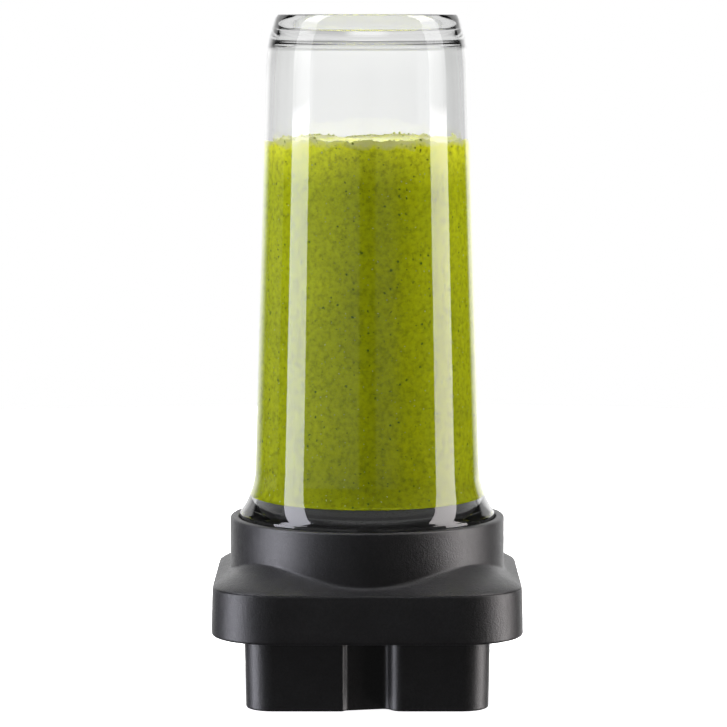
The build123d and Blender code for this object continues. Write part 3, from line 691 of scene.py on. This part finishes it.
froth = blend.math("ADD", blend.span(height, 0.1815, 0.1885, 0.0, 0.55),
                   blend.math("MULTIPLY", blend.noise(140, 4, 0.65), 0.62))
body = blend.mix(blend.ramp(froth, [(0.58, 0.0), (0.74, 1.0)]), body, (0.72, 0.74, 0.36))
torn = blend.add("ShaderNodeTexNoise", {"Vector": blend.place}, Scale=900.0)
ragged = blend.add("ShaderNodeMixRGB", {"Color1": blend.place, "Color2": torn.outputs["Color"]},
                   Fac=0.0006, blend_type="LINEAR_LIGHT").outputs["Color"]
DARK_LEAF, GREEN_LEAF, PALE_SEED = (0.065, 0.135, 0.004), (0.13, 0.21, 0.005), (0.80, 0.84, 0.26)
body = blend.mix(dots(blend, 2.4, 0.16, 0.56, 0.32, ragged), body, DARK_LEAF)
body = blend.mix(dots(blend, 1.5, 0.08, 0.36, 0.46, ragged), body, GREEN_LEAF)
body = blend.mix(dots(blend, 1.5, 0.06, 0.26, 0.34, ragged), body, PALE_SEED)
blend.shader.inputs["Subsurface Radius"].default_value = (1.0, 1.0, 0.12)
blend.shader.inputs["Subsurface Scale"].default_value = 0.006
green_smoothie = blend.feed(Base_Color=body,
                            Subsurface_Weight=blend.span(height, 0.168, 0.186, 0.05, 0.7),
                            Normal=blend.bump(blend.noise(700, 3), 0.00005, 0.25))
dress(smoothie, green_smoothie)
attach(smoothie, "contents")
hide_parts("smoothie")


def scatter_bubbles(obj, smallest, largest, material):
    """Puts a ball of random radius, in millimetres, at each point of the object."""
    foam_tree = Repeater("bubbles", {"Smallest": "Float", "Largest": "Float"})
    given = foam_tree.given
    ball = foam_tree.add("GeometryNodeMeshIcoSphere", Subdivisions=2, Radius=1.0)
    size = foam_tree.add("FunctionNodeRandomValue", Seed=0)
    foam_tree.tree.links.new(given["Smallest"], size.inputs[2])
    foam_tree.tree.links.new(given["Largest"], size.inputs[3])
    placed = foam_tree.add("GeometryNodeInstanceOnPoints", {
        "Points": given["Geometry"], "Instance": ball.outputs["Mesh"], "Scale": size.outputs[1]})
    return foam_tree.run(obj, placed.outputs["Instances"], {
        "Smallest": smallest * MM, "Largest": largest * MM, "Finish": material})


BUBBLES, BUBBLE_ROOM, BUBBLE_LEAST = 170, 0.6, 0.2
spots = []
for k in range(BUBBLES):
    a = 2 * pi * (k + 0.8 * noise.noise(Vector((k * 1.7, 3.3, 0)))) / BUBBLES
    z = FILL + froth_line(a) - 0.2 + 1.1 * noise.noise(Vector((k * 2.3, 0, 9.1)))
    r = inner_radius(z) - BUBBLE_ROOM
    spots.append((r * cos(a) * MM, r * sin(a) * MM, z * MM))
bubbles = solid("froth_bubbles", spots, [])
foam = Paint("pale froth", Roughness=0.3, IOR=1.33)
pale_froth = foam.feed(Base_Color=foam.mix(foam.noise(260, 2), (0.74, 0.78, 0.20), (0.86, 0.88, 0.46)))
scatter_bubbles(bubbles, BUBBLE_LEAST, BUBBLE_ROOM - WETTED, pale_froth)
shade(bubbles, 180)
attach(bubbles, "contents")

# ---------------------------------------------------------------------------------------------
# Cup.  Clear moulded copolyester with a thick closed end, and with a flare and a bead above its
# neck.  It stands upside down, its neck in the groove of the base and its lip on the gasket.
# ---------------------------------------------------------------------------------------------

CUP_TOP, END_R, PUNT_R, PUNT_Z, FLOOR_Z = 228.7, 29.75, 26.5, 222.6, 219.6


def cup_profile():
    """The wall's section: from the lip up the outside, over the closed end and down the inside."""
    bead_r, bead_low, bead_top, flare_r = 43.0, 56.8, 61.4, 42.8
    lip, lip_edge, sides = 42.0, 0.4, 30
    points = arc((NECK_R - WALL + lip_edge, lip + lip_edge), lip_edge, 180, 270, 3)
    points += arc((NECK_R - lip_edge, lip + lip_edge), lip_edge, -90, 0, 3)
    points += [(NECK_R, 49.0), (NECK_R, bead_low - 1.2)]
    points += [(bead_r - 0.6, bead_low - 0.3)] + arc((bead_r - 0.5, bead_low + 0.5), 0.5, -70, 0, 3)
    points += arc((bead_r - 0.6, bead_top - 0.5), 0.6, 0, 50, 3)
    pull = 0.9 * hypot(WAIST_R - flare_r, WAIST_Z - bead_top)
    flare_foot = (flare_r - 0.05, bead_top + 0.1)
    points += hermite(flare_foot, (WAIST_R, WAIST_Z), (-0.6 * pull, 0.8 * pull), (taper * pull, pull), 18)
    for step in range(1, sides + 1):
        z = WAIST_Z + (CROWN_Z - WAIST_Z) * step / sides
        points.append((WAIST_R + taper * (z - WAIST_Z), z))
    mid = (END_R + 2.2, CUP_TOP - 5.1)
    points += hermite((CROWN_R, CROWN_Z), mid, (taper * 17, 17), (-0.30 * 17, 0.95 * 17), 14)[1:]
    edge = (END_R + 0.35, CUP_TOP - 0.3)
    points += hermite(mid, edge, (-0.30 * 5.4, 0.95 * 5.4), (-0.6 * 5.2, 0.8 * 5.2), 8)[1:]
    points += arc((END_R - 0.25, CUP_TOP - 0.7), 0.7, 35, 90, 4)
    points += arc((PUNT_R + 0.7, CUP_TOP - 0.7), 0.7, 90, 165, 4)
    points += arc((PUNT_R - 0.5, PUNT_Z + 1.0), 1.0, -15, -90, 5)
    points += [(r, PUNT_Z) for r in (20.0, 14.0, 7.0)] + [(0, PUNT_Z), (0, FLOOR_Z)]
    points += [(r, FLOOR_Z) for r in (7.0, 14.0, 20.0)]
    crown_z = CROWN_Z - 2
    crown_r = inner_radius(crown_z)
    bend = (END_R + 3.2 - WALL, FLOOR_Z - 2.4)
    points += hermite((bend[0] - 2.4, FLOOR_Z), bend, (3.4, 0), (0.5, -3.4), 8)
    points += hermite(bend, (crown_r, crown_z), (1.9, -12.8), (0.38, -12.8), 14)[1:]
    for step in range(1, sides + 1):
        z = crown_z + (WAIST_Z - 0.4 * WALL - crown_z) * step / sides
        points.append((inner_radius(z), z))
    inner = inner_side(WALL, lip + 1)
    return points + inner[-2::-1]


cup = lathe("clear_cup", cup_profile(), 256)
shade(cup, 40)

clear = Paint("clear copolyester", IOR=1.54, Roughness=0.0, Transmission_Weight=1.0)
clear.shader.inputs["Base Color"].default_value = (0.985, 0.99, 0.985, 1)
clear_copolyester = clear.feed(Normal=clear.bump(clear.noise(55, 2), 0.00006, 0.06))
dress(cup, clear_copolyester)
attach(cup, "cup")
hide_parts("jar")

# ---------------------------------------------------------------------------------------------
# Thread.  Four starts, 20 mm a turn, right-handed: four lugs on the cup's neck run below four in
# the collar.  Both sets lie on one helix, half a spacing apart, so they pass as the cup turns.
# ---------------------------------------------------------------------------------------------

LEAD, STARTS, LUG_SPAN = 20.0, 4, 60.0
LUG_SUNK, LUG_HALF, LUG_FADE = 0.3, 1.2, 0.16
CUP_LUG_TIP, CUP_LUG_LOW = 42.9, 46.0
COLLAR_LUG_TIP, COLLAR_LUG_FROM = 41.8, 41.4


def thread_lug(name, root, tip, low_z, first):
    """One lug: a ridge from the wall at `root` to `tip` that climbs with the thread and fades out."""
    steps, points, faces = 30, [], []
    for k in range(steps + 1):
        share = k / steps
        turn = first + LUG_SPAN * share
        z = low_z + LEAD * LUG_SPAN * share / 360
        fade = sin(pi / 2 * min(1.0, share / LUG_FADE + 0.05, (1 - share) / LUG_FADE + 0.05))
        crest = root + (tip - root) * fade
        base = root - LUG_SUNK if tip > root else root + LUG_SUNK
        a = radians(turn)
        foot_dz, crest_dz = LUG_HALF * fade, 0.65 * LUG_HALF * fade
        for r, dz in ((base, -foot_dz), (crest, -crest_dz), (crest, crest_dz), (base, foot_dz)):
            points.append((r * cos(a) * MM, r * sin(a) * MM, (z + dz) * MM))
    for k in range(steps):
        for j in range(4):
            n = (j + 1) % 4
            faces.append((4 * k + j, 4 * k + n, 4 * k + 4 + n, 4 * k + 4 + j))
    faces += [(3, 2, 1, 0), (4 * steps, 4 * steps + 1, 4 * steps + 2, 4 * steps + 3)]
    obj = solid(name, points, faces)
    bm = bmesh.new()
    bm.from_mesh(obj.data)
    bmesh.ops.recalc_face_normals(bm, faces=bm.faces)
    bm.to_mesh(obj.data)
    bm.free()
    return obj


cup_lug = thread_lug("cup_thread_lugs", NECK_R, CUP_LUG_TIP, CUP_LUG_LOW, 0.0)
cup_lugs = set_round(cup_lug, STARTS, 0.0, 0.0, clear_copolyester)
shade(cup_lugs, 40)
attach(cup_lugs, "cup")

collar_lug_low = CUP_LUG_LOW + LEAD / STARTS / 2 + LEAD * COLLAR_LUG_FROM / 360
collar_lug = thread_lug("collar_thread_lugs", COLLAR_BORE, COLLAR_LUG_TIP, collar_lug_low, COLLAR_LUG_FROM)
collar_lugs = set_round(collar_lug, STARTS, 0.0, 0.0, black_moulding)
shade(collar_lugs, 40)
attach(collar_lugs, "base")

# ---------------------------------------------------------------------------------------------
# Studio.  A white table, a tall light on each side, and a room in the world: white behind the cup
# and mostly dark in front, with a light overhead.  Its brightness goes by heading and by elevation.
# ---------------------------------------------------------------------------------------------

REACH = 0.9
table = Paint("white table", Base_Color=(0.85, 0.85, 0.85, 1), Roughness=0.9, Specular_IOR_Level=0.0,
              Emission_Color=(1, 1, 1, 1), Emission_Strength=0.96).material
disc_turns = [2 * pi * k / 96 for k in range(96)]
floor = solid("floor", [(REACH * cos(a), REACH * sin(a), 0) for a in disc_turns], [tuple(range(96))])
dress(floor, table)
floor.visible_diffuse = False
floor.visible_glossy = False
floor.visible_transmission = False
floor.visible_shadow = False


LIGHT_MID, LIGHT_FROM, LIGHT_TO = 0.12, -40, 78


def side_light(name, side, first, last, colour):
    """A tall bent panel, seen from the cup between two bearings, from low down to overhead.  It is
    dimmer where the empty part of the cup mirrors it and where it is seen through the cup.  The flare
    mirrors the same stretch of the panel, but its rays come from lower down and so have run further."""
    glow = Paint(name, Base_Color=(0, 0, 0, 1), Specular_IOR_Level=0.0, Roughness=1.0, Emission_Strength=1.0)
    rays = glow.add("ShaderNodeLightPath")
    first_hit = glow.math("LESS_THAN", rays.outputs["Diffuse Depth"], 0.5)
    spot = glow.add("ShaderNodeSeparateXYZ", {"Vector": glow.place})
    y, z = spot.outputs["Y"], spot.outputs["Z"]
    # The stretch that the empty part mirrors, and how far a ray has run, measured from the axis.
    stretch = glow.math("MULTIPLY", glow.span(z, 0.192, 0.202, 0.0, 1.0), glow.span(z, 0.60, 0.66, 1.0, 0.0))
    run = glow.math("ADD", rays.outputs["Ray Length"], glow.span(y, -0.352, 0.141, 0.0350, 0.0273))
    from_high = glow.span(run, 0.8999, 0.9008, 1.0, 0.0)
    glossy = glow.math("MULTIPLY", rays.outputs["Is Glossy Ray"], first_hit)
    mirrored = glow.math("MULTIPLY", glossy, glow.math("MULTIPLY", stretch, from_high))
    through = glow.math("MULTIPLY", rays.outputs["Is Transmission Ray"], first_hit)
    dimmed = glow.ramp(glow.span(z, 0.20, 0.32, 0.0, 1.0), [(0.0, 1.2), (1.0, 2.6)])
    glow.feed(Emission_Color=glow.mix(through, glow.mix(mirrored, colour, dimmed), (0.70, 0.70, 0.72)))
    points, faces, across, up = [], [], 8, 24
    for i in range(up + 1):
        tilt = radians(LIGHT_FROM + (LIGHT_TO - LIGHT_FROM) * i / up)
        for j in range(across + 1):
            bearing = radians(first + (last - first) * j / across)
            points.append((side * REACH * sin(bearing) * cos(tilt), -REACH * cos(bearing) * cos(tilt),
                           LIGHT_MID + REACH * sin(tilt)))
    for i in range(up):
        for j in range(across):
            a = i * (across + 1) + j
            quad = (a, a + 1, a + across + 2, a + across + 1)
            faces.append(quad if side > 0 else quad[::-1])
    panel = dress(solid(name, points, faces), glow.material)
    panel.visible_camera = False
    panel.visible_shadow = False


side_light("left_light", -1, 67, 91, (6.4, 6.4, 7.1))
side_light("right_light", 1, 73, 99, (6.2, 5.9, 5.9))

world = bpy.data.worlds.new("studio")
bpy.context.scene.world = world
world.use_nodes = True
room = Nodes(world.node_tree)
room.tree.nodes.clear()
axes = room.add("ShaderNodeSeparateXYZ", {"Vector": room.add("ShaderNodeTexCoord").outputs["Generated"]})
heading = room.math("ARCTAN2", axes.outputs["X"], room.math("MULTIPLY", axes.outputs["Y"], -1.0))
heading = room.math("ADD", room.math("DIVIDE", heading, 2 * pi), 0.5)
climb = room.math("ADD", room.math("MULTIPLY", axes.outputs["Z"], 0.5), 0.5)


def round_about(*stops):
    """Brightness by heading: degrees from the camera's side, positive to the right, and a value."""
    return room.ramp(heading, [(0.5 + degrees / 360, value) for degrees, value in stops])


def by_climb(*stops):
    """Brightness by elevation: degrees and a value."""
    return room.ramp(climb, [(0.5 + sin(radians(degrees)) / 2, value) for degrees, value in stops])


# The walls at eye level, their lower part, what is above them, the ceiling and the ground near by.
walls = round_about((-180, 1.0), (-172, 1.0), (-163, 1.5), (-152, 1.3), (-141, 0.25), (-135, 0.12),
                    (-110, 0.28), (-106, 0.32), (-105, 0.02), (-92, 0.02), (-91, 0.34), (-9, 0.36),
                    (-8, 0.03), (8, 0.02), (9, 0.22), (24, 0.20), (38, 0.04), (60, 0.02), (137, 0.02),
                    (141, 0.25), (145, 1.7), (165, 1.9), (174, 1.0), (180, 1.0))
low_walls = round_about((-180, 1.0), (-160, 1.2), (-143, 0.35), (-137, 0.03), (-110, 0.05), (-20, 0.12),
                        (-6, 0.05), (6, 0.02), (13, 0.10), (30, 0.08), (60, 0.02), (141, 0.02),
                        (149, 1.0), (160, 1.6), (180, 1.0))
high_walls = round_about((-180, 1.0), (-141, 1.0), (-137, 0.05), (137, 0.05), (141, 1.0), (180, 1.0))
mirrored = room.mix(by_climb((-30, 1.0), (-7, 1.0), (-3, 0.0), (0, 0.0)), walls, low_walls)
mirrored = room.mix(by_climb((0, 0.0), (5.5, 0.0), (8, 1.0), (90, 1.0)), mirrored, high_walls)
mirrored = room.mix(by_climb((0, 0.0), (46, 0.0), (59, 1.0), (90, 1.0)), mirrored, 0.18)
mirrored = room.mix(by_climb((-24, 1.0), (-17, 0.0), (0, 0.0)), mirrored, 0.06)

# What shows through the clear wall: white behind and dark in front, and greyer above and below.
beyond = round_about((-180, 1.0), (-175, 1.0), (-170, 0.80), (-110, 0.80), (-95, 0.16), (0, 0.16),
                     (95, 0.16), (110, 0.76), (152, 0.80), (156, 0.62), (170, 0.62), (175, 1.0),
                     (180, 1.0))
high_beyond = round_about((-180, 0.62), (-100, 0.62), (-80, 0.5), (80, 0.5), (100, 0.62), (180, 0.62))
beyond = room.mix(by_climb((0, 0.0), (5, 0.0), (9, 1.0), (90, 1.0)), beyond, high_beyond)
beyond = room.mix(by_climb((-12, 1.0), (-8, 0.0), (0, 0.0)), beyond, 0.78)

# A soft light straight overhead lights the surfaces but isn't mirrored.  The camera sees white.
overhead = room.mix(by_climb((0, 0.0), (66, 0.0), (71, 1.0), (90, 1.0)), mirrored, 11.0)
path = room.add("ShaderNodeLightPath").outputs
first_hit = room.math("LESS_THAN", path["Diffuse Depth"], 0.5)
clear_way = room.math("MULTIPLY", path["Is Transmission Ray"], first_hit)
shown = room.mix(room.math("GREATER_THAN", path["Diffuse Depth"], 0.5), mirrored, overhead)
shown = room.mix(clear_way, shown, beyond)
shown = room.mix(path["Is Camera Ray"], shown, 1.0)
glow = room.add("ShaderNodeBackground", {"Color": shown})
room.add("ShaderNodeOutputWorld", {"Surface": glow.outputs["Background"]})

# A long lens, level with the closed end and tilted a little down.
camera_data = bpy.data.cameras.new("camera")
camera_data.lens = 179.7
camera_data.shift_x = -0.0052
camera_data.sensor_width = 36.0
camera_data.clip_end = 50
camera = bpy.data.objects.new("camera", camera_data)
camera.location = (0.0, -1.219, 0.2287)
camera.rotation_euler = (radians(90 - 5.495), 0, 0)
bpy.context.scene.collection.objects.link(camera)
bpy.context.scene.camera = camera
bpy.context.scene.view_settings.view_transform = "Standard"

bpy.context.view_layer.update()
